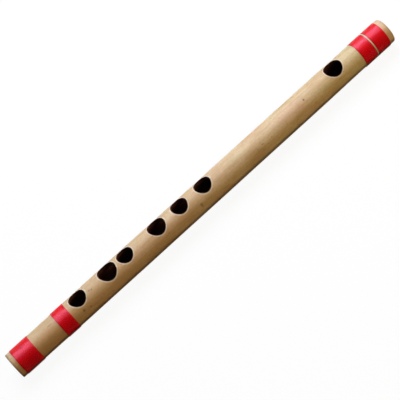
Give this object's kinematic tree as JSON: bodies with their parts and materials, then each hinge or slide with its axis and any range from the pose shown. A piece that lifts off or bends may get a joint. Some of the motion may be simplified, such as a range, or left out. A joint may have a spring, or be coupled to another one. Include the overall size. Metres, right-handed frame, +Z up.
{
  "type": "bamboo transverse flute",
  "caption": "Side-blown bamboo flute with a blow hole, finger holes, red thread bindings at both ends and a cork stopper inside the head.",
  "frame": {"origin": "on the surface the flute lies on, under the middle of its length", "axes": "+X along the flute from its foot to its head, +Z up through the finger holes, -Y towards the player's side"},
  "size_m": [0.35, 0.0204, 0.0203],
  "materials": {
    "bamboo": "smooth scraped bamboo skin, lightly oiled, with fine lengthwise fibres",
    "cork": "raw cork, dull",
    "red_thread": "tightly wound silky thread with a satin sheen",
    "pale_thread": "tightly wound pale silky thread"
  },
  "bodies": {
    "flute": {"bamboo_tube": "bamboo", "foot_binding": "red_thread", "middle_binding": "red_thread", "head_inner_binding": "red_thread", "head_outer_binding": "red_thread", "pale_thread": "pale_thread"},
    "stopper": {"cork_stopper": "cork"}
  },
  "joints": [
    {"name": "stopper_slide", "type": "slide", "parent": "flute", "child": "stopper", "axis": [1, 0, 0], "range_m": [-0.004, 0.004]}
  ]
}
